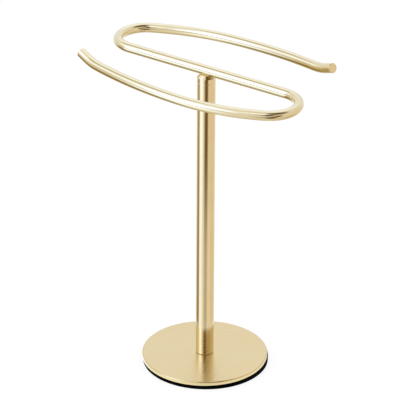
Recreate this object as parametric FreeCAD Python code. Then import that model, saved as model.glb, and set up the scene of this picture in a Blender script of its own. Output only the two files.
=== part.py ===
import FreeCAD, Part
import os
from math import cos, radians, sin, sqrt

from FreeCAD import Rotation, Vector

# Freestanding towel stand. Millimetres, +Z up. The origin is on the floor, on the post's axis,
# and the rail's straight middle bar lies along X.

# Towel rail: one bent tube, the same at both ends after half a turn about the post
rail_diameter = 12.0
rail_wall = 1.2
rail_height = 388.4  # floor to the centreline of the middle bar
bar_half_length = 112.0  # post's axis to the start of a U-bend
u_bend_radius = 34.0
u_bend_angle = 153.7
arm_rise_angle = 3.3  # turns the arm's plane up about the end of the U-bend
near_arm_radius = 240.0  # the arm's stretch next to the U-bend
near_arm_length = 107.0
far_arm_radius = 510.0  # the flatter stretch next to the tip
far_arm_length = 128.0
tip_bend_radius = 65.0
tip_bend_angle = 17.3
tip_length = 12.0  # straight end, measured over the plug

# Plugs in the rail's two tips
plug_head_thickness = 1.6
plug_edge_radius = 0.8
plug_spigot_length = 8.0
plug_spigot_chamfer = 0.5

# Rail head: the turned collar between the post and the rail
head_band_height = 6.2  # straight band above the seam
head_chamfer = 3.5
saddle_depth = 1.3  # how deep the rail sits in the head
head_spigot_length = 4.0
head_hole_depth = 10.0

# Post
post_diameter = 22.0
post_wall = 1.2
post_foot_chamfer = 0.5
seam_chamfer = 0.25  # breaks both edges of the seam under the head
insert_length = 14.0
insert_chamfer = 0.6
insert_recess = 0.5  # tube end to the insert behind it

# Base
base_diameter = 154.0
cover_height = 5.0
cover_sheet = 1.0
cover_edge_radius = 1.5
pad_thickness = 5.2
pad_edge_chamfer = 0.2
pad_hole_diameter = 36.0
pad_shift = 1.0  # the pad is glued on this far off the cover's centre
pad_shift_turn = 35.0  # direction of that shift, from +X towards +Y
gasket_thickness = 0.3
gasket_inset = 0.7  # gasket's edge behind the post's face

# Threaded pieces
thread_diameter = 8.0
stud_length = 22.0
bolt_length = 20.0  # under the head
bolt_head_diameter = 17.0
bolt_head_height = 3.2
socket_width = 5.0  # hexagon key size, across the flats
stud_socket_width = 4.0
socket_depth = 2.2
thread_chamfer = 0.8
flat_washer_diameter = 24.0
flat_washer_thickness = 1.6
lock_washer_diameter = 15.0
lock_washer_thickness = 0.8
lock_washer_teeth = 8
lock_washer_tooth_depth = 1.6
counterbore_depth = 2.0

# Fits
press_gap = 0.05  # a pressed or welded piece and its seat, on the radius
thread_gap = 0.05  # a thread and its tapped hole, on the radius
bolt_hole_gap = 0.3  # a bolt and a plain hole, on the radius
weight_gap = 0.3  # the weight and the inside of the cover
counterbore_gap = 1.0  # the flat washer and the counterbore, on the radius
end_gap = 0.3  # a stud's end and the bottom of its hole

# Radii and levels that follow from the sizes above
rail_radius = rail_diameter / 2
rail_bore_radius = rail_radius - rail_wall
post_radius = post_diameter / 2
post_bore_radius = post_radius - post_wall
base_radius = base_diameter / 2
thread_radius = thread_diameter / 2
tapped_radius = thread_radius + thread_gap
bolt_hole_radius = thread_radius + bolt_hole_gap
insert_radius = post_bore_radius - press_gap

cover_bottom = pad_thickness
cover_top = cover_bottom + cover_height
weight_top = cover_top - cover_sheet
post_foot = cover_top + gasket_thickness
counterbore_top = pad_thickness + counterbore_depth
flat_washer_bottom = counterbore_top - flat_washer_thickness
lock_washer_bottom = flat_washer_bottom - lock_washer_thickness
head_top = rail_height - rail_radius + saddle_depth
band_top = head_top - head_chamfer
seam_height = band_top - head_band_height
head_bottom = seam_height - head_spigot_length
head_hole_top = head_bottom + head_hole_depth
top_insert_top = head_bottom - insert_recess
foot_insert_bottom = post_foot + insert_recess
stud_top = head_hole_top - end_gap

UP = Vector(0, 0, 1)
HALF_TURN = 180
FULL_TURN = 360
HEX_SIDES = 6


def cylinder(radius, bottom, top):
    return Part.makeCylinder(radius, top - bottom, Vector(0, 0, bottom))


def rim_edges(shape, radius, level):
    """The circular edges about the Z axis that have this radius and lie at this level."""
    found = []
    for edge in shape.Edges:
        if not isinstance(edge.Curve, Part.Circle):
            continue
        centre = edge.Curve.Center
        on_axis = abs(centre.x) < 1e-6 and abs(centre.y) < 1e-6
        if on_axis and abs(edge.Curve.Radius - radius) < 1e-6 and abs(centre.z - level) < 1e-6:
            found.append(edge)
    return found


def hex_prism(width, bottom, height):
    """A hexagonal prism about the Z axis, with its size given across the flats."""
    corner_radius = width / (2 * cos(radians(HALF_TURN / HEX_SIDES)))
    corners = []
    for side in range(HEX_SIDES + 1):
        angle = radians(side * FULL_TURN / HEX_SIDES)
        corners.append(Vector(corner_radius * cos(angle), corner_radius * sin(angle), bottom))
    return Part.Face(Part.makePolygon(corners)).extrude(UP * height)


# The rail's centreline is drawn by a place that moves along it: a point, the heading there,
# and the side that the next bend turns towards.

def run_straight(place, length):
    point, heading, side = place
    end = point + heading * length
    return Part.makeLine(point, end), (end, heading, side)


def run_bend(place, radius, angle):
    point, heading, side = place
    centre = point + side * radius
    axis = heading.cross(side)
    half_way = Rotation(axis, angle / 2)
    whole_way = Rotation(axis, angle)
    middle = centre + half_way.multVec(point - centre)
    end = centre + whole_way.multVec(point - centre)
    edge = Part.Arc(point, middle, end).toShape()
    return edge, (end, whole_way.multVec(heading), whole_way.multVec(side))


def turn_side(place, angle):
    """Turns the bending side about the heading, which tilts the plane of the next bend."""
    point, heading, side = place
    return point, heading, Rotation(heading, angle).multVec(side)


def side_up(place):
    """Turns the bending side straight up, for a bend in an upright plane."""
    point, heading, _ = place
    side = UP - heading * heading.dot(UP)
    side.normalize()
    return point, heading, side


def rear_half():
    """The centreline from the post's axis to the rear arm's tip, and the place at its end."""
    place = (Vector(0, 0, rail_height), Vector(-1, 0, 0), Vector(0, 1, 0))
    bar, place = run_straight(place, bar_half_length)
    u_bend, place = run_bend(place, u_bend_radius, u_bend_angle)
    place = turn_side(place, -arm_rise_angle)
    near_arm, place = run_bend(place, near_arm_radius, arc_angle(near_arm_length, near_arm_radius))
    far_arm, place = run_bend(place, far_arm_radius, arc_angle(far_arm_length, far_arm_radius))
    tip_bend, place = run_bend(side_up(place), tip_bend_radius, tip_bend_angle)
    tip, place = run_straight(place, tip_length - plug_head_thickness)
    return [bar, u_bend, near_arm, far_arm, tip_bend, tip], place


def arc_angle(length, radius):
    """The angle, in degrees, that an arc of this length and radius turns through."""
    return length / radius / radians(1)


def half_turned(shape):
    """The same shape after half a turn about the post's axis."""
    copy = shape.copy()
    copy.rotate(Vector(0, 0, 0), UP, HALF_TURN)
    return copy


def tube_wall(edges, place):
    """Sweeps the tube's ring section from the tip at place back along the edges."""
    tip, heading, _ = place
    outer = Part.Wire(Part.makeCircle(rail_radius, tip, heading))
    bore = Part.Wire(Part.makeCircle(rail_bore_radius, tip, heading))
    spine = Part.Wire(list(reversed(edges)))
    outside = spine.makePipe(Part.Face(outer))
    inside = spine.makePipe(Part.Face(bore))
    return outside.cut(inside)


def towel_rail():
    edges, tip = rear_half()
    rear = tube_wall(edges, tip)
    return rear.fuse(half_turned(rear)).removeSplitter()


def rail_plug_rear():
    """A round-edged head against the tube's end, and a spigot pressed into its bore."""
    _, (tip, heading, _) = rear_half()
    head = Part.makeCylinder(rail_radius, plug_head_thickness)
    head = head.makeFillet(plug_edge_radius, rim_edges(head, rail_radius, plug_head_thickness))
    spigot_radius = rail_bore_radius - press_gap
    spigot = cylinder(spigot_radius, -plug_spigot_length, 0)
    spigot = spigot.makeChamfer(plug_spigot_chamfer, rim_edges(spigot, spigot_radius, -plug_spigot_length))
    plug = head.fuse(spigot)
    plug.Placement = FreeCAD.Placement(tip, Rotation(UP, heading))
    return plug


def rail_plug_front():
    return half_turned(rail_plug_rear())


def rail_head():
    band = cylinder(post_radius, seam_height, head_top)
    band = band.makeChamfer(head_chamfer, rim_edges(band, post_radius, head_top))
    band = band.makeChamfer(seam_chamfer, rim_edges(band, post_radius, seam_height))
    spigot = cylinder(insert_radius, head_bottom, seam_height)
    saddle_radius = rail_radius + press_gap
    saddle_start = Vector(-post_radius, 0, rail_height)
    saddle = Part.makeCylinder(saddle_radius, post_diameter, saddle_start, Vector(1, 0, 0))
    hole = cylinder(tapped_radius, head_bottom, head_hole_top)
    return band.fuse(spigot).cut(saddle).cut(hole)


def head_stud():
    bottom = stud_top - stud_length
    stud = cylinder(thread_radius, bottom, stud_top)
    for level in (bottom, stud_top):
        stud = stud.makeChamfer(thread_chamfer, rim_edges(stud, thread_radius, level))
    return stud.cut(hex_prism(stud_socket_width, bottom, socket_depth))


def insert(bottom):
    """A tapped plug for the post's bore."""
    top = bottom + insert_length
    plug = cylinder(insert_radius, bottom, top)
    for level in (bottom, top):
        plug = plug.makeChamfer(insert_chamfer, rim_edges(plug, insert_radius, level))
    return plug.cut(cylinder(tapped_radius, bottom, top))


def post_top_insert():
    return insert(top_insert_top - insert_length)


def post_foot_insert():
    return insert(foot_insert_bottom)


def post_tube():
    tube = cylinder(post_radius, post_foot, seam_height)
    tube = tube.makeChamfer(seam_chamfer, rim_edges(tube, post_radius, seam_height))
    tube = tube.makeChamfer(post_foot_chamfer, rim_edges(tube, post_radius, post_foot))
    return tube.cut(cylinder(post_bore_radius, post_foot, seam_height))


def foot_gasket():
    ring = cylinder(post_radius - gasket_inset, cover_top, post_foot)
    return ring.cut(cylinder(bolt_hole_radius, cover_top, post_foot))


def base_cover():
    cover = cylinder(base_radius, cover_bottom, cover_top)
    cover = cover.makeFillet(cover_edge_radius, rim_edges(cover, base_radius, cover_top))
    inner_radius = base_radius - cover_sheet
    hollow = cylinder(inner_radius, cover_bottom, weight_top)
    hollow_fillet = cover_edge_radius - cover_sheet
    if hollow_fillet > 0:
        hollow = hollow.makeFillet(hollow_fillet, rim_edges(hollow, inner_radius, weight_top))
    return cover.cut(hollow).cut(cylinder(bolt_hole_radius, weight_top, cover_top))


def base_weight():
    weight_radius = base_radius - cover_sheet - weight_gap
    weight = cylinder(weight_radius, pad_thickness, weight_top)
    weight = weight.makeChamfer(cover_edge_radius, rim_edges(weight, weight_radius, weight_top))
    counterbore_radius = flat_washer_diameter / 2 + counterbore_gap
    counterbore = cylinder(counterbore_radius, pad_thickness, counterbore_top)
    return weight.cut(counterbore).cut(cylinder(bolt_hole_radius, counterbore_top, weight_top))


def base_pad():
    pad = cylinder(base_radius, 0, pad_thickness)
    pad = pad.makeChamfer(pad_edge_chamfer, rim_edges(pad, base_radius, 0))
    pad = pad.cut(cylinder(pad_hole_diameter / 2, 0, pad_thickness))
    pad.translate(Rotation(UP, pad_shift_turn).multVec(Vector(pad_shift, 0, 0)))
    return pad


def flat_washer():
    washer = cylinder(flat_washer_diameter / 2, flat_washer_bottom, counterbore_top)
    return washer.cut(cylinder(bolt_hole_radius, flat_washer_bottom, counterbore_top))


def lock_washer():
    """A ring with teeth left between the notches around its hole."""
    radius = lock_washer_diameter / 2
    washer = cylinder(radius, lock_washer_bottom, flat_washer_bottom)
    washer = washer.cut(cylinder(bolt_hole_radius, lock_washer_bottom, flat_washer_bottom))
    pitch = FULL_TURN / lock_washer_teeth
    notch_reach = bolt_hole_radius + lock_washer_tooth_depth
    notch_width = bolt_hole_radius * radians(pitch) / 2
    for tooth in range(lock_washer_teeth):
        corner = Vector(0, -notch_width / 2, lock_washer_bottom)
        notch = Part.makeBox(notch_reach, notch_width, lock_washer_thickness, corner)
        notch.rotate(Vector(0, 0, 0), UP, tooth * pitch)
        washer = washer.cut(notch)
    return washer


def base_bolt():
    head_bottom_level = lock_washer_bottom - bolt_head_height
    head = cylinder(bolt_head_diameter / 2, head_bottom_level, lock_washer_bottom)
    edge = rim_edges(head, bolt_head_diameter / 2, head_bottom_level)
    head = head.makeChamfer(thread_chamfer, edge)
    shank_top = lock_washer_bottom + bolt_length
    shank = cylinder(thread_radius, lock_washer_bottom, shank_top)
    shank = shank.makeChamfer(thread_chamfer, rim_edges(shank, thread_radius, shank_top))
    return head.fuse(shank).cut(hex_prism(socket_width, head_bottom_level, socket_depth))


PIECES = {
    "towel_rail": towel_rail,
    "rail_plug_rear": rail_plug_rear,
    "rail_plug_front": rail_plug_front,
    "rail_head": rail_head,
    "head_stud": head_stud,
    "post_top_insert": post_top_insert,
    "post_tube": post_tube,
    "post_foot_insert": post_foot_insert,
    "foot_gasket": foot_gasket,
    "base_cover": base_cover,
    "base_weight": base_weight,
    "base_pad": base_pad,
    "flat_washer": flat_washer,
    "lock_washer": lock_washer,
    "base_bolt": base_bolt,
}

os.makedirs("parts", exist_ok=True)
for name, make_piece in PIECES.items():
    piece = make_piece()
    piece.exportStep(os.path.join("parts", name + ".step"))
    box = piece.BoundBox
    print(name, "solids", len(piece.Solids), "valid", piece.isValid(), "volume", round(piece.Volume, 1),
          "x", round(box.XMin, 2), round(box.XMax, 2), "y", round(box.YMin, 2), round(box.YMax, 2),
          "z", round(box.ZMin, 2), round(box.ZMax, 2))
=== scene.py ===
from math import cos, pi, radians, sin

import bpy
from mathutils import Matrix, Quaternion, Vector


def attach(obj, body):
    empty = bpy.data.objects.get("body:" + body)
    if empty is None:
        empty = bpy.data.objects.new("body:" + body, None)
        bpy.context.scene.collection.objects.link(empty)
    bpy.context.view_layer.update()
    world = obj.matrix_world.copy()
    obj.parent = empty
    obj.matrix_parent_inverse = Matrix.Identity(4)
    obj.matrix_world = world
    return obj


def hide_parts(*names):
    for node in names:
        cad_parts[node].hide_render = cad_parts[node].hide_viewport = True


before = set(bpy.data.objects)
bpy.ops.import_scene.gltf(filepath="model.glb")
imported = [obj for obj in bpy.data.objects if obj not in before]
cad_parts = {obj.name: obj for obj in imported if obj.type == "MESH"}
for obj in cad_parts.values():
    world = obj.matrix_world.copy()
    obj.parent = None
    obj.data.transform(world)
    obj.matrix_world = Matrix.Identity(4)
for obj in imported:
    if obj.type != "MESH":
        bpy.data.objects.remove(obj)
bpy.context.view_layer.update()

# Freestanding towel stand: finishes, the bent rail's skin, the studio and the camera.
# Metres, in the same frame as the solids: origin on the floor under the post, bar along X.

mm = 0.001

# ------------------------------------------------------------------ sizes of the bent rail
rail_radius = 6.0 * mm
rail_wall = 1.2 * mm
rail_height = 388.4 * mm
bar_half_length = 112.0 * mm
u_bend_radius = 34.0 * mm
u_bend_angle = radians(153.7)
arm_rise_angle = radians(3.3)
near_arm_radius = 240.0 * mm
near_arm_length = 107.0 * mm
far_arm_radius = 510.0 * mm
far_arm_length = 128.0 * mm
tip_bend_radius = 65.0 * mm
tip_bend_angle = radians(17.3)
tip_length = 10.4 * mm  # straight end, up to the plug's head

# how finely the rail is drawn
rail_sides = 56
bar_parts = 4
u_bend_steps = 64
near_arm_steps = 22
far_arm_steps = 18
tip_bend_steps = 12
join_distance = 0.01 * mm
smooth_below = radians(40)

# ------------------------------------------------------------------ camera, fitted to the photograph
camera_target = Vector((0, 0, 190.4 * mm))
camera_distance = 3500 * mm
camera_turn = radians(35.1)  # from -Y towards +X
camera_rise = radians(26.955)
camera_roll = radians(0.341)
photo_width = 416.0
focal_length_px = 2904.8
axis_left_px = 2.507  # the optical axis lies this far left of the picture's centre
axis_below_px = 12.522
sensor_width_mm = 36.0
nearest_seen, farthest_seen = 0.1, 100

UP = Vector((0, 0, 1))


# ================================================================== mesh helpers

def leave_all():
    if bpy.context.mode != "OBJECT":
        bpy.ops.object.mode_set(mode="OBJECT")
    bpy.ops.object.select_all(action="DESELECT")


def finish_place(piece):
    """Puts the object's place into its mesh, so that the object sits at the origin."""
    leave_all()
    piece.select_set(True)
    bpy.context.view_layer.objects.active = piece
    bpy.ops.object.transform_apply(location=True, rotation=True, scale=True)


# ================================================================== the bent rail

class Course:
    """A place that moves along the rail's centreline, and the open end of the tube that is
    drawn along behind it."""

    def __init__(self, point, heading, side):
        self.point, self.heading, self.side = point, heading, side

    def straight(self, length):
        step = self.heading * length
        bpy.ops.mesh.extrude_region_move(TRANSFORM_OT_translate={"value": step})
        self.point = self.point + step

    def bend(self, radius, angle, steps):
        axis = self.heading.cross(self.side)
        centre = self.point + self.side * radius
        # the spin operator counts its angle against the axis
        bpy.ops.mesh.spin(steps=steps, angle=-angle, center=centre, axis=axis)
        turn = Quaternion(axis, angle)
        self.point = centre + turn @ (self.point - centre)
        self.heading = turn @ self.heading
        self.side = turn @ self.side

    def tilt_side(self, angle):
        self.side = Quaternion(self.heading, angle) @ self.side

    def side_upwards(self):
        self.side = (UP - self.heading * self.heading.dot(UP)).normalized()


def lay_grain_map(piece):
    """Unrolls the tube's skin: the rail's length runs along U and its girth along V, in metres."""
    bpy.ops.object.mode_set(mode="OBJECT")
    mesh = piece.data
    rings = len(mesh.vertices) // rail_sides
    middle = []
    for r in range(rings):
        ring = mesh.vertices[r * rail_sides:(r + 1) * rail_sides]
        middle.append(sum((vertex.co for vertex in ring), Vector()) / rail_sides)
    length_at = [0.0]
    for r in range(1, rings):
        length_at.append(length_at[-1] + (middle[r] - middle[r - 1]).length)
    girth_step = 2 * pi * rail_radius / rail_sides
    grain_map = mesh.uv_layers.new(name="grain")
    for face in mesh.polygons:
        around = [mesh.loops[i].vertex_index % rail_sides for i in face.loop_indices]
        wraps = max(around) - min(around) > rail_sides // 2
        for i, side in zip(face.loop_indices, around):
            ring = mesh.loops[i].vertex_index // rail_sides
            if wraps and side == 0:
                side = rail_sides
            grain_map.data[i].uv = (length_at[ring], side * girth_step)


def make_rail():
    """Draws the rear half of the tube from the post to its tip, copies it by half a turn and
    joins the two in the middle of the bar."""
    leave_all()
    bpy.ops.mesh.primitive_circle_add(vertices=rail_sides, radius=rail_radius, fill_type="NOTHING",
                                      location=(0, 0, rail_height), rotation=(0, pi / 2, 0))
    rail = bpy.context.object
    rail.name = rail.data.name = "rail_skin"
    finish_place(rail)
    bpy.ops.object.mode_set(mode="EDIT")
    bpy.ops.mesh.select_all(action="SELECT")
    course = Course(Vector((0, 0, rail_height)), Vector((-1, 0, 0)), Vector((0, 1, 0)))
    for _ in range(bar_parts):
        course.straight(bar_half_length / bar_parts)
    course.bend(u_bend_radius, u_bend_angle, u_bend_steps)
    course.tilt_side(-arm_rise_angle)
    course.bend(near_arm_radius, near_arm_length / near_arm_radius, near_arm_steps)
    course.bend(far_arm_radius, far_arm_length / far_arm_radius, far_arm_steps)
    course.side_upwards()
    course.bend(tip_bend_radius, tip_bend_angle, tip_bend_steps)
    course.straight(tip_length)
    lay_grain_map(rail)
    bpy.ops.object.mode_set(mode="EDIT")
    bpy.ops.mesh.select_all(action="SELECT")
    bpy.ops.mesh.duplicate()
    bpy.ops.transform.rotate(value=pi, orient_axis="Z", center_override=(0, 0, 0))
    bpy.ops.mesh.select_all(action="SELECT")
    bpy.ops.mesh.remove_doubles(threshold=join_distance)
    bpy.ops.mesh.normals_make_consistent(inside=False)
    bpy.ops.object.mode_set(mode="OBJECT")
    wall = rail.modifiers.new("wall", "SOLIDIFY")
    wall.thickness = rail_wall
    wall.offset = -1
    bpy.ops.object.modifier_apply(modifier="wall")
    bpy.ops.object.shade_smooth_by_angle(angle=smooth_below)
    return rail


# ================================================================== finishes

class Finish:
    """Short ways to place and join the nodes of one material or node group."""

    def __init__(self, tree):
        self.tree = tree

    def add(self, kind, values=None, **settings):
        node = self.tree.nodes.new(kind)
        for name, value in settings.items():
            setattr(node, name, value)
        for name, value in (values or {}).items():
            node.inputs[name].default_value = value
        return node

    def join(self, start, end):
        self.tree.links.new(start, end)

    def maths(self, operation, first, second=None, clamp=False):
        node = self.add("ShaderNodeMath", operation=operation, use_clamp=clamp)
        for socket, value in zip(node.inputs, (first, second)):
            if value is None:
                continue
            if isinstance(value, (int, float)):
                socket.default_value = value
            else:
                self.join(value, socket)
        return node.outputs[0]

    def vector(self, operation, first, second=None):
        node = self.add("ShaderNodeVectorMath", operation=operation)
        for socket, value in zip(node.inputs, (first, second)):
            if value is None:
                continue
            if isinstance(value, (tuple, Vector)):
                socket.default_value = value
            else:
                self.join(value, socket)
        gives_number = operation in ("DOT_PRODUCT", "LENGTH")
        return node.outputs["Value" if gives_number else "Vector"]

    def noise(self, vector, scale, detail=2.0, roughness=0.5):
        node = self.add("ShaderNodeTexNoise", {"Scale": scale, "Detail": detail, "Roughness": roughness})
        self.join(vector, node.inputs["Vector"])
        return node.outputs["Fac"]

    def spread(self, value, low, high, to_low=0.0, to_high=1.0, smooth=True):
        limits = {"From Min": low, "From Max": high, "To Min": to_low, "To Max": to_high}
        node = self.add("ShaderNodeMapRange", limits, interpolation_type="SMOOTHSTEP" if smooth else "LINEAR")
        self.join(value, node.inputs["Value"])
        return node.outputs["Result"]

    def blend(self, amount, first, second):
        node = self.add("ShaderNodeMix", data_type="RGBA")
        for name, value in (("Factor", amount), ("A", first), ("B", second)):
            socket = next(s for s in node.inputs
                          if s.name == name and s.enabled and (s.type == "RGBA" or name == "Factor"))
            if isinstance(value, (int, float)):
                socket.default_value = value
            elif isinstance(value, tuple):
                socket.default_value = (*value, 1)
            else:
                self.join(value, socket)
        return next(s for s in node.outputs if s.type == "RGBA" and s.enabled)


def new_group(name, inputs, outputs):
    """A node group with named sockets. Each input is (name, kind, default)."""
    group = bpy.data.node_groups.new(name, "ShaderNodeTree")
    for title, kind, default in inputs:
        socket = group.interface.new_socket(title, in_out="INPUT", socket_type="NodeSocket" + kind)
        if default is not None:
            socket.default_value = default
    for title, kind in outputs:
        group.interface.new_socket(title, in_out="OUTPUT", socket_type="NodeSocket" + kind)
    finish = Finish(group)
    return group, finish, finish.add("NodeGroupInput").outputs, finish.add("NodeGroupOutput").inputs


def make_turned_lay():
    """Coordinates for marks that run in circles about the post's axis, as on a lathe."""
    group, f, given, result = new_group(
        "turned lay",
        [("Place", "Vector", None), ("Along Marks", "Float", 20.0), ("Across Marks", "Float", 3000.0)],
        [("Face Lay", "Vector"), ("Side Lay", "Vector")])
    flat = f.vector("MULTIPLY", given["Place"], (1, 1, 0))
    radius = f.vector("LENGTH", flat)
    along = f.add("ShaderNodeVectorMath", operation="SCALE")
    f.join(flat, along.inputs[0])
    f.join(given["Along Marks"], along.inputs["Scale"])
    height = f.add("ShaderNodeSeparateXYZ")
    f.join(given["Place"], height.inputs[0])
    for title, across in (("Face Lay", radius), ("Side Lay", height.outputs["Z"])):
        fine = f.add("ShaderNodeCombineXYZ")
        f.join(f.maths("MULTIPLY", across, given["Across Marks"]), fine.inputs["Z"])
        f.join(f.vector("ADD", along.outputs[0], fine.outputs[0]), result[title])
    return group


def make_brushing():
    """Fine parallel scratches in two widths, with a few deeper ones among them."""
    group, f, given, result = new_group(
        "brushing",
        [("Lay", "Vector", None)],
        [("Height", "Float"), ("Sheen Variation", "Float")])
    fine_share, wide_share = 0.6, 0.4
    deep_cut = 0.35  # how much of the height the few deep scratches take away
    fine = f.noise(given["Lay"], scale=1.0, detail=3.0, roughness=0.7)
    wide = f.noise(given["Lay"], scale=0.31)
    between_deep = f.spread(f.noise(given["Lay"], scale=0.55, detail=1.0, roughness=0.4), low=0.30, high=0.40)
    body = f.maths("ADD", f.maths("MULTIPLY", fine, fine_share), f.maths("MULTIPLY", wide, wide_share))
    left = f.maths("ADD", f.maths("MULTIPLY", between_deep, deep_cut), 1.0 - deep_cut)
    f.join(f.maths("MULTIPLY", body, left), result["Height"])
    sheen = f.spread(wide, low=0.3, high=0.7, to_low=-1.0, to_high=1.0, smooth=False)
    f.join(sheen, result["Sheen Variation"])
    return group


def make_metal_tone():
    """The metal's colour as it ages unevenly: slow warm and cool drifts, small dull spots
    and faint marks of handling, with the roughness that goes with them."""
    group, f, given, result = new_group(
        "metal tone",
        [("Place", "Vector", None), ("Clean Metal", "Color", None), ("Warm Metal", "Color", None),
         ("Dull Metal", "Color", None), ("Drift", "Float", 0.5), ("Handling", "Float", 0.3),
         ("Base Roughness", "Float", 0.2), ("Brushed Variation", "Float", 0.0)],
        [("Color", "Color"), ("Roughness", "Float")])
    spots_dull, handling_dulls = 0.22, 0.45
    handling_roughens, spots_roughen, brushing_roughens = 0.09, 0.04, 0.025
    apart = (1.7, 0.4, 2.9)  # so that the smears don't follow the drifts
    drift = f.spread(f.noise(given["Place"], scale=14.0, detail=3.0), low=0.35, high=0.68)
    spots = f.spread(f.noise(given["Place"], scale=210.0), low=0.62, high=0.78)
    smears = f.noise(f.vector("ADD", given["Place"], apart), scale=45.0, detail=4.0, roughness=0.62)
    handled = f.maths("MULTIPLY", f.spread(smears, low=0.50, high=0.66), given["Handling"])
    colour = f.blend(f.maths("MULTIPLY", drift, given["Drift"]), given["Clean Metal"], given["Warm Metal"])
    dull = f.maths("ADD", f.maths("MULTIPLY", spots, spots_dull), f.maths("MULTIPLY", handled, handling_dulls),
                   clamp=True)
    f.join(f.blend(dull, colour, given["Dull Metal"]), result["Color"])
    rough = given["Base Roughness"]
    for effect, amount in ((handled, handling_roughens), (spots, spots_roughen),
                           (given["Brushed Variation"], brushing_roughens)):
        rough = f.maths("ADD", rough, f.maths("MULTIPLY", effect, amount))
    f.join(rough, result["Roughness"])
    return group


def make_edge_rub():
    """Where a turned piece's rim has been rubbed bright and carries a painted highlight: a mask that rises near
    one height.
    """
    group, f, given, result = new_group(
        "edge rub",
        [("Place", "Vector", None), ("Edge Height", "Float", 0.0), ("Reach", "Float", 0.001)],
        [("Mask", "Float")])
    height = f.add("ShaderNodeSeparateXYZ")
    f.join(given["Place"], height.inputs[0])
    away = f.maths("ABSOLUTE", f.maths("SUBTRACT", height.outputs["Z"], given["Edge Height"]))
    near = f.maths("SUBTRACT", 1.0, f.maths("DIVIDE", away, given["Reach"]), clamp=True)
    patchy = f.spread(f.noise(given["Place"], scale=160.0, detail=3.0, roughness=0.6), low=0.3, high=0.7,
                      to_low=0.35)
    f.join(f.maths("MULTIPLY", near, patchy), result["Mask"])
    return group


def new_material(name):
    material = bpy.data.materials.new(name)
    material.use_nodes = True
    material.node_tree.nodes.clear()
    finish = Finish(material.node_tree)
    shader = finish.add("ShaderNodeBsdfPrincipled")
    finish.join(shader.outputs[0], finish.add("ShaderNodeOutputMaterial").inputs["Surface"])
    return material, finish, shader


# colours of the metals, and the clear lacquer on the brass
clean_brass = (0.805, 0.665, 0.392, 1)
warm_brass = (0.795, 0.625, 0.347, 1)
dull_brass = (0.680, 0.560, 0.340, 1)
# lighter brass for the rims: rubbed wear, and partly a painted highlight along the edge
rub_and_highlight_brass = (0.860, 0.745, 0.500, 1)
painted_light_rail_brass = (0.785, 0.692, 0.445, 1)  # the rail, a shade paler than the post: painted light, a lit copy of the same brass
painted_light_rail_warm_brass = (0.775, 0.655, 0.388, 1)
painted_shade_base_brass = (0.700, 0.545, 0.272, 1)  # the base, a shade deeper: painted shade, a shaded copy of the same brass
painted_shade_base_warm_brass = (0.690, 0.515, 0.243, 1)
dull_steel = (0.30, 0.29, 0.27, 1)
lacquer_weight = 0.35
lacquer_roughness = 0.12
quarter_turn = 0.25  # of a full turn: turns the stretched gloss across the marks


def finish_metal(f, shader, where, lay, tone_values, grain_depth, grain_strength=1.0, rubbed_edges=()):
    """Joins one metal's brushing, tone and rubbed edges to its shader. lay gives the coordinates that
    its marks follow."""
    shader.inputs["Metallic"].default_value = 1.0
    grain = f.add("ShaderNodeGroup", node_tree=brushing)
    f.join(lay, grain.inputs["Lay"])
    tone = f.add("ShaderNodeGroup", tone_values, node_tree=metal_tone)
    f.join(where.outputs["Object"], tone.inputs["Place"])
    f.join(grain.outputs["Sheen Variation"], tone.inputs["Brushed Variation"])
    colour = tone.outputs["Color"]
    for edge_height, reach in rubbed_edges:
        rub = f.add("ShaderNodeGroup", {"Edge Height": edge_height, "Reach": reach}, node_tree=edge_rub)
        f.join(where.outputs["Object"], rub.inputs["Place"])
        colour = f.blend(rub.outputs["Mask"], colour, rub_and_highlight_brass[:3])
    f.join(colour, shader.inputs["Base Color"])
    f.join(tone.outputs["Roughness"], shader.inputs["Roughness"])
    bump = f.add("ShaderNodeBump", {"Strength": grain_strength, "Distance": grain_depth})
    f.join(grain.outputs["Height"], bump.inputs["Height"])
    f.join(bump.outputs["Normal"], shader.inputs["Normal"])


def brass(name, lay_kind, roughness, grain_depth, along=22.0, across=3200.0, drift=0.45, handling=0.30,
          rubbed_edges=(), clean=clean_brass, warm=warm_brass, anisotropy=0.8):
    """Satin champagne brass. lay_kind is face, side or length: the way its brushing runs."""
    material, f, shader = new_material(name)
    where = f.add("ShaderNodeTexCoord")
    if lay_kind == "length":
        lay = f.add("ShaderNodeMapping")
        lay.inputs["Scale"].default_value = (along, across, 1)
        f.join(where.outputs["UV"], lay.inputs["Vector"])
        marks = lay.outputs["Vector"]
    else:
        lay = f.add("ShaderNodeGroup", {"Along Marks": along, "Across Marks": across}, node_tree=turned_lay)
        f.join(where.outputs["Object"], lay.inputs["Place"])
        marks = lay.outputs["Face Lay" if lay_kind == "face" else "Side Lay"]
    tone_values = {"Clean Metal": clean, "Warm Metal": warm, "Dull Metal": dull_brass,
                   "Drift": drift, "Handling": handling, "Base Roughness": roughness}
    finish_metal(f, shader, where, marks, tone_values, grain_depth, rubbed_edges=rubbed_edges)
    shader.inputs["Coat Weight"].default_value = lacquer_weight
    shader.inputs["Coat Roughness"].default_value = lacquer_roughness
    if lay_kind == "face":
        shader.inputs["Anisotropic"].default_value = anisotropy
        shader.inputs["Anisotropic Rotation"].default_value = quarter_turn
        ring = f.add("ShaderNodeTangent", direction_type="RADIAL", axis="Z")
        f.join(ring.outputs[0], shader.inputs["Tangent"])
    return material


def steel(name, colour, warm, roughness):
    """Plain or zinc-plated turned steel for the screws, washers and inserts."""
    material, f, shader = new_material(name)
    where = f.add("ShaderNodeTexCoord")
    lay = f.add("ShaderNodeGroup", {"Along Marks": 60.0, "Across Marks": 2600.0}, node_tree=turned_lay)
    f.join(where.outputs["Object"], lay.inputs["Place"])
    tone_values = {"Clean Metal": colour, "Warm Metal": warm, "Dull Metal": dull_steel,
                   "Drift": 0.7, "Handling": 0.6, "Base Roughness": roughness}
    finish_metal(f, shader, where, lay.outputs["Face Lay"], tone_values, grain_depth=0.02 * mm, grain_strength=0.8)
    return material


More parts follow.
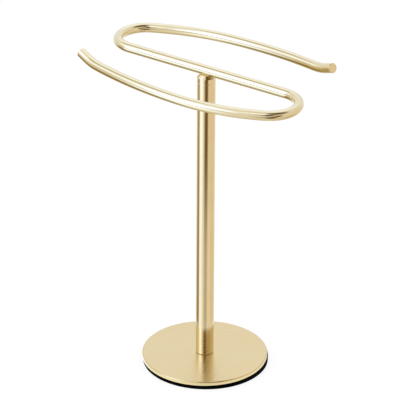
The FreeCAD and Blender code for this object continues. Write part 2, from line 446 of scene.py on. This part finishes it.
def moulding(name, colour, dusty, roughness, grain_size, grain_depth, rib_pitch=None, rib_depth=0.0, gloss=0.5):
    """Black rubber, nylon or cast iron: a fine pebbled skin with blotches of dust, and where it
    is ribbed, shallow rings about the post's axis."""
    material, f, shader = new_material(name)
    shader.inputs["Specular IOR Level"].default_value = gloss
    where = f.add("ShaderNodeTexCoord")
    place = where.outputs["Object"]
    pebbles_roughen = 0.12
    pebbles = f.noise(place, scale=1.0 / grain_size, roughness=0.6)
    blotches = f.noise(place, scale=38.0, detail=4.0, roughness=0.6)
    dust = f.spread(blotches, low=0.48, high=0.75, to_high=0.55)
    f.join(f.blend(dust, colour, dusty), shader.inputs["Base Color"])
    f.join(f.maths("ADD", roughness, f.maths("MULTIPLY", pebbles, pebbles_roughen)), shader.inputs["Roughness"])
    height = pebbles
    if rib_pitch:
        radius = f.vector("LENGTH", f.vector("MULTIPLY", place, (1, 1, 0)))
        wave = f.maths("SINE", f.maths("MULTIPLY", radius, 2 * pi / rib_pitch))
        height = f.maths("ADD", f.maths("MULTIPLY", pebbles, grain_depth / rib_depth),
                         f.spread(wave, low=-0.2, high=0.2))
        grain_depth = rib_depth
    bump = f.add("ShaderNodeBump", {"Strength": 1.0, "Distance": grain_depth})
    f.join(height, bump.inputs["Height"])
    f.join(bump.outputs["Normal"], shader.inputs["Normal"])
    return material


def give(material, *nodes):
    """Puts one material in every slot of these solids."""
    for name in nodes:
        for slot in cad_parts[name].material_slots:
            slot.material = material


# ================================================================== the studio

def towards(turn_from_camera, rise):
    """A direction, given by its turn to the right of the camera's own and its rise, in degrees."""
    turn = camera_turn + radians(turn_from_camera)
    rise = radians(rise)
    return Vector((sin(turn) * cos(rise), -cos(turn) * cos(rise), sin(rise)))


def make_studio_surround():
    """A white room. Metal sees in it one large softbox, a bright backdrop and the dark
    openings of the room; everything else sees plain white."""
    group, f, given, result = new_group(
        "soft patch",
        [("Direction", "Vector", None), ("Centre", "Vector", None),
         ("Edge", "Float", 0.5), ("Core", "Float", 0.9)],
        [("Mask", "Float")])
    near = f.vector("DOT_PRODUCT", given["Direction"], given["Centre"])
    mask = f.add("ShaderNodeMapRange", interpolation_type="SMOOTHSTEP")
    f.join(near, mask.inputs["Value"])
    f.join(given["Edge"], mask.inputs["From Min"])
    f.join(given["Core"], mask.inputs["From Max"])
    f.join(mask.outputs["Result"], result["Mask"])

    world = bpy.context.scene.world or bpy.data.worlds.new("studio")
    bpy.context.scene.world = world
    world.use_nodes = True
    world.node_tree.nodes.clear()
    f = Finish(world.node_tree)
    where = f.add("ShaderNodeTexCoord").outputs["Generated"]
    colour = (0.93, 0.92, 0.90)  # the room's walls
    # colour, turn, rise, angle of the soft edge, angle of the full core; a later patch covers an earlier one
    patches = [
        ((0.90, 0.82, 0.71), 85, -30, 80, 30),     # duller low wall on the right
        ((0.70, 0.59, 0.38), 90, -75, 55, 25),     # table under the stand
        ((0.98, 1.01, 1.08), 180, 20, 60, 20),     # backdrop
        ((1.18, 1.27, 1.52), -178, 54, 32, 12),    # and its bright top
        ((0.60, 0.51, 0.31), -142, -50, 32, 14),   # shaded table behind on the left
        ((0.30, 0.21, 0.07), -105, -38, 27, 5),    # low opening behind on the left
        ((1.25, 1.40, 1.86), -78, 34, 40, 12),     # softbox, high on the left
        ((2.30, 3.10, 6.20), -60, 26, 19, 5),      # its bright middle
        ((1.60, 1.95, 3.20), -40, 26, 11, 3),      # its near edge
        ((1.45, 1.55, 1.80), -13, 46, 18, 8),      # its near corner
        ((0.84, 0.77, 0.64), -93, 1, 22, 4),       # strip between it and the table
        ((0.66, 0.58, 0.43), -122, 54, 19, 4),     # gap between it and the backdrop
        ((1.28, 1.49, 2.00), -62, -20, 28, 8),     # the softbox's spill on the table
        ((0.17, 0.11, 0.03), 2, -26, 27, 3),       # dark openings behind the camera
        ((0.17, 0.115, 0.03), 13, -11, 18, 4),
        ((0.20, 0.14, 0.05), 24, 4, 26, 6),
        ((0.03, 0.01, 0.00), 0, 28, 23, 10),
        ((0.22, 0.15, 0.04), 50, 55, 29, 8),
        ((0.13, 0.08, 0.02), 26, 65, 24, 8),
        ((0.80, 0.69, 0.49), 10, 14, 15, 7),       # lit doorway between them
    ]
    for patch_colour, turn, rise, edge, core in patches:
        patch = f.add("ShaderNodeGroup", {"Centre": towards(turn, rise), "Edge": cos(radians(edge)),
                                          "Core": cos(radians(core))}, node_tree=group)
        f.join(where, patch.inputs["Direction"])
        colour = f.blend(patch.outputs["Mask"], colour, patch_colour)
    path = f.add("ShaderNodeLightPath")
    seen = f.blend(path.outputs["Is Glossy Ray"], (1, 1, 1), colour)
    background = f.add("ShaderNodeBackground", {"Strength": 1.0})
    f.join(seen, background.inputs["Color"])
    f.join(background.outputs[0], f.add("ShaderNodeOutputWorld").inputs["Surface"])


def make_floor():
    """A white floor. The camera sees it nearly plain white with a faint shadow, and metal sees
    white paper near the stand with the room's surround beyond it."""
    floor_size = 60
    plain_white = 0.82  # share of the floor's white that no shadow darkens
    painted_ring_reach, painted_ring_end = 0.08, 0.11  # a painted pool of light: a glowing ring round the base that only metal sees
    paper_reach, paper_end = 0.26, 0.62
    leave_all()
    bpy.ops.mesh.primitive_plane_add(size=floor_size, location=(0, 0, 0))
    floor = bpy.context.object
    floor.name = "studio_floor"
    material = bpy.data.materials.new("white floor")
    material.use_nodes = True
    material.node_tree.nodes.clear()
    f = Finish(material.node_tree)
    paint = f.add("ShaderNodeBsdfDiffuse", {"Color": (1, 1, 1, 1)})
    glow = f.add("ShaderNodeEmission", {"Color": (1, 1, 1, 1), "Strength": 1.0})
    clear = f.add("ShaderNodeBsdfTransparent")
    path = f.add("ShaderNodeLightPath")
    lit = f.add("ShaderNodeMixShader")
    f.join(f.maths("MULTIPLY", path.outputs["Is Camera Ray"], plain_white), lit.inputs["Fac"])
    f.join(paint.outputs[0], lit.inputs[1])
    f.join(glow.outputs[0], lit.inputs[2])
    # metal sees the floor as white paper close by in front, and the surround beyond it
    where = f.add("ShaderNodeTexCoord").outputs["Object"]
    reach = f.vector("LENGTH", where)
    frontward = f.vector("DOT_PRODUCT", f.vector("NORMALIZE", where), towards(0, 0))
    in_front = f.spread(frontward, low=0.1, high=0.8)
    near = f.spread(reach, low=paper_reach, high=paper_end, to_low=0.50, to_high=0.0)
    paper = f.maths("MULTIPLY", near, in_front)
    sheet = f.add("ShaderNodeMixShader")
    f.join(paper, sheet.inputs["Fac"])
    f.join(clear.outputs[0], sheet.inputs[1])
    f.join(glow.outputs[0], sheet.inputs[2])
    # and a painted pool of light around the base, where the floor glows for metal
    painted_light_ring = f.add("ShaderNodeEmission", {"Color": (0.80, 0.90, 1.0, 1), "Strength": 1.7})
    seen_in_metal = f.add("ShaderNodeMixShader")
    around_base = f.spread(reach, low=painted_ring_reach, high=painted_ring_end, to_low=0.9, to_high=0.0)
    f.join(around_base, seen_in_metal.inputs["Fac"])
    f.join(sheet.outputs[0], seen_in_metal.inputs[1])
    f.join(painted_light_ring.outputs[0], seen_in_metal.inputs[2])
    split = f.add("ShaderNodeMixShader")
    f.join(path.outputs["Is Glossy Ray"], split.inputs["Fac"])
    f.join(lit.outputs[0], split.inputs[1])
    f.join(seen_in_metal.outputs[0], split.inputs[2])
    one_sided = f.add("ShaderNodeMixShader")
    f.join(f.add("ShaderNodeNewGeometry").outputs["Backfacing"], one_sided.inputs["Fac"])
    f.join(split.outputs[0], one_sided.inputs[1])
    f.join(clear.outputs[0], one_sided.inputs[2])
    f.join(one_sided.outputs[0], f.add("ShaderNodeOutputMaterial").inputs["Surface"])
    floor.data.materials.append(material)


def make_lamp():
    """One large soft lamp from the upper left, for the dark pad and a faint shadow."""
    lamp_size, lamp_power, lamp_distance = 1.2, 6.0, 1.8
    lamp_data = bpy.data.lights.new("soft lamp", "AREA")
    lamp_data.shape = "DISK"
    lamp_data.size = lamp_size
    lamp_data.energy = lamp_power
    lamp = bpy.data.objects.new("soft_lamp", lamp_data)
    bpy.context.scene.collection.objects.link(lamp)
    away = towards(turn_from_camera=-75, rise=50)
    lamp.location = camera_target + away * lamp_distance
    lamp.rotation_euler = (-away).to_track_quat("-Z", "Y").to_euler()
    lamp.visible_glossy = False
    lamp.visible_camera = False


def make_camera():
    """The photograph's own view of the stand."""
    forward = -towards(0, 0) * cos(camera_rise) - UP * sin(camera_rise)
    level_right = Vector((cos(camera_turn), sin(camera_turn), 0))
    level_up = level_right.cross(forward)
    right = level_right * cos(camera_roll) + level_up * sin(camera_roll)
    up = level_up * cos(camera_roll) - level_right * sin(camera_roll)
    lens = bpy.data.cameras.new("camera")
    lens.sensor_width = sensor_width_mm
    lens.lens = focal_length_px / photo_width * sensor_width_mm
    lens.shift_x = axis_left_px / photo_width
    lens.shift_y = axis_below_px / photo_width
    lens.clip_start, lens.clip_end = nearest_seen, farthest_seen
    camera = bpy.data.objects.new("camera", lens)
    bpy.context.scene.collection.objects.link(camera)
    place = Matrix((right, up, -forward)).transposed().to_4x4()
    place.translation = camera_target - forward * camera_distance
    camera.matrix_world = place
    bpy.context.scene.camera = camera


# ================================================================== putting it together

for extra in ("Cube", "Light", "Camera"):
    if extra in bpy.data.objects:
        bpy.data.objects.remove(bpy.data.objects[extra])

bpy.context.scene.view_settings.view_transform = "Standard"

turned_lay = make_turned_lay()
brushing = make_brushing()
metal_tone = make_metal_tone()
edge_rub = make_edge_rub()

# heights of the turned edges that are rubbed bright and carry a painted highlight, and how far it reaches
post_top_edge = (374.0 * mm, 0.4 * mm)
post_foot_edge = (10.5 * mm, 0.9 * mm)
head_shoulder = (380.2 * mm, 0.4 * mm)

# the rail takes the paler, lit copy of the brass: painted light
rail_finish = brass("satin brass, brushed lengthwise", "length", roughness=0.13, grain_depth=0.0007 * mm,
                    along=60.0, across=5200.0, clean=painted_light_rail_brass, warm=painted_light_rail_warm_brass)
post_finish = brass("satin brass, turned post", "side", roughness=0.15, grain_depth=0.0007 * mm,
                    rubbed_edges=[post_top_edge, post_foot_edge])
head_finish = brass("satin brass, turned head", "side", roughness=0.13, grain_depth=0.0003 * mm,
                    rubbed_edges=[head_shoulder])
# the base takes the deeper, shaded copy of the brass: painted shade
cover_finish = brass("satin brass, turned face", "face", roughness=0.27, grain_depth=0.0001 * mm, along=12.0,
                     drift=0.35, handling=0.18, clean=painted_shade_base_brass, warm=painted_shade_base_warm_brass, anisotropy=0.2)
plug_finish = brass("satin brass, end plugs", "face", roughness=0.21, grain_depth=0.004 * mm,
                    drift=0.8, handling=0.7)

zinc = steel("zinc-plated steel", colour=(0.62, 0.63, 0.64, 1), warm=(0.60, 0.58, 0.50, 1), roughness=0.32)
bare_steel = steel("plain turned steel", colour=(0.48, 0.47, 0.46, 1), warm=(0.40, 0.37, 0.34, 1), roughness=0.36)
rubber = moulding("black rubber pad", colour=(0.0006, 0.0006, 0.0006), dusty=(0.0020, 0.0019, 0.0018),
                  roughness=0.70, grain_size=0.7 * mm, grain_depth=0.05 * mm,
                  rib_pitch=4.0 * mm, rib_depth=0.35 * mm, gloss=0.02)
nylon = moulding("amber nylon gasket", colour=(0.500, 0.360, 0.160), dusty=(0.420, 0.320, 0.180),
                 roughness=0.35, grain_size=0.4 * mm, grain_depth=0.02 * mm)
iron = moulding("blackened iron weight", colour=(0.030, 0.029, 0.028), dusty=(0.075, 0.066, 0.058),
                roughness=0.50, grain_size=1.2 * mm, grain_depth=0.08 * mm)

give(post_finish, "post_tube")
give(head_finish, "rail_head")
give(cover_finish, "base_cover")
give(plug_finish, "rail_plug_rear", "rail_plug_front")
give(rail_finish, "towel_rail")
give(zinc, "base_bolt", "flat_washer", "lock_washer")
give(bare_steel, "head_stud", "post_top_insert", "post_foot_insert")
give(rubber, "base_pad")
give(nylon, "foot_gasket")
give(iron, "base_weight")

rail = make_rail()
rail.data.materials.append(rail_finish)
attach(rail, "root")
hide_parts("towel_rail")

make_studio_surround()
make_floor()
make_lamp()
make_camera()
